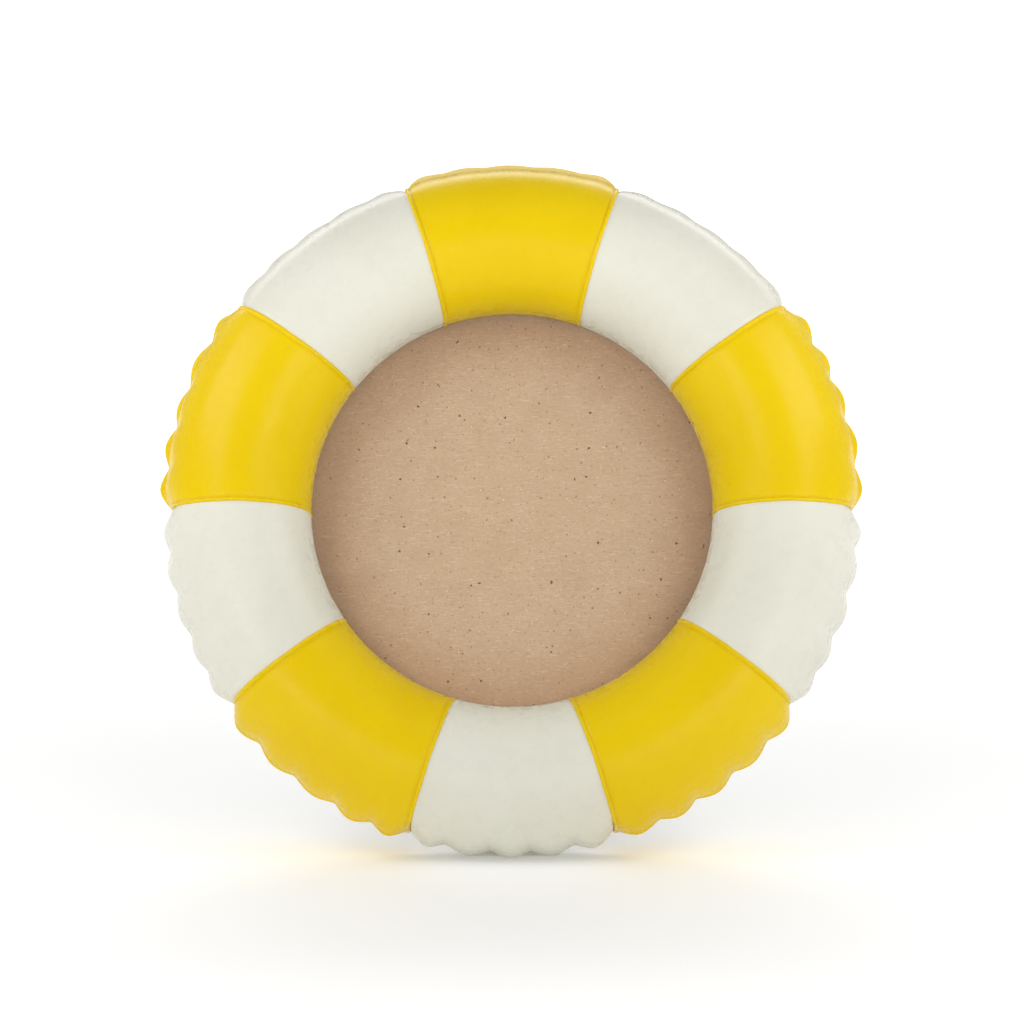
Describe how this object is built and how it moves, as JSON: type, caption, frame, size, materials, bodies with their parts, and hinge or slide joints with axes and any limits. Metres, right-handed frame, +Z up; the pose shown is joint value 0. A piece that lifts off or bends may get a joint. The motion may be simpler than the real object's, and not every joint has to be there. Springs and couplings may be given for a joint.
{
  "type": "round photo frame",
  "caption": "Round table-top photo frame shaped like a striped swim ring, with a clear pane, a backing board held by turn buttons, and a hinged easel leg.",
  "frame": {"origin": "the point on the table under the middle of the base pad, straight below the tube's centre line at the ring's lowest point", "axes": "+X to the right as seen from the front, +Y away from the viewer towards the easel leg's foot, +Z up"},
  "size_m": [0.1744, 0.0995, 0.1669],
  "materials": {
    "cream_resin": "satin gloss paint on cast resin, warm cream",
    "yellow_resin": "satin gloss paint on moulded resin, warm yellow",
    "clear_pane": "clear, flat, polished",
    "kraft_paper": "matt brown kraft with dark fibre flecks",
    "grey_card": "matt grey packing card",
    "fibre_board": "plain medium-density fibre board",
    "cover_paper": "matt black embossed paper",
    "leg_board": "fibre board faced in matt black embossed paper",
    "plated_steel": "bright zinc plate",
    "pad_rubber": "soft milky matt rubber"
  },
  "bodies": {
    "frame": {"ring_casting": "cream_resin", "yellow_sleeve_top": "yellow_resin", "yellow_sleeve_right": "yellow_resin", "yellow_sleeve_lower_right": "yellow_resin", "yellow_sleeve_lower_left": "yellow_resin", "yellow_sleeve_left": "yellow_resin", "clear_pane": "clear_pane", "kraft_insert": "kraft_paper", "filler_card": "grey_card", "back_board": "fibre_board", "back_cover": "cover_paper", "turn_button_screws": "plated_steel", "hinge_plate": "plated_steel", "hinge_plate_rivets": "plated_steel", "hinge_pin": "plated_steel", "base_pad": "pad_rubber"},
    "leg": {"hinge_leaf": "plated_steel", "hinge_leaf_rivets": "plated_steel", "easel_leg": "leg_board", "leg_foot_pad": "pad_rubber"},
    "button_upper_right": {"turn_button_upper_right": "plated_steel"},
    "button_upper_left": {"turn_button_upper_left": "plated_steel"},
    "button_lower_left": {"turn_button_lower_left": "plated_steel"},
    "button_lower_right": {"turn_button_lower_right": "plated_steel"}
  },
  "joints": [
    {"name": "easel_hinge", "type": "hinge", "parent": "frame", "child": "leg", "pos_m": [0, 0.04488, 0.10529], "axis": [1, 0, 0], "range_deg": [-36, 0]},
    {"name": "button_upper_right_swivel", "type": "hinge", "parent": "frame", "child": "button_upper_right", "pos_m": [0.04243, 0.04596, 0.12011], "axis": [0, 0.9511, -0.309], "continuous": true},
    {"name": "button_upper_left_swivel", "type": "hinge", "parent": "frame", "child": "button_upper_left", "pos_m": [-0.04243, 0.04596, 0.12011], "axis": [0, 0.9511, -0.309], "continuous": true},
    {"name": "button_lower_left_swivel", "type": "hinge", "parent": "frame", "child": "button_lower_left", "pos_m": [-0.04243, 0.01974, 0.03941], "axis": [0, 0.9511, -0.309], "continuous": true},
    {"name": "button_lower_right_swivel", "type": "hinge", "parent": "frame", "child": "button_lower_right", "pos_m": [0.04243, 0.01974, 0.03941], "axis": [0, 0.9511, -0.309], "continuous": true}
  ]
}
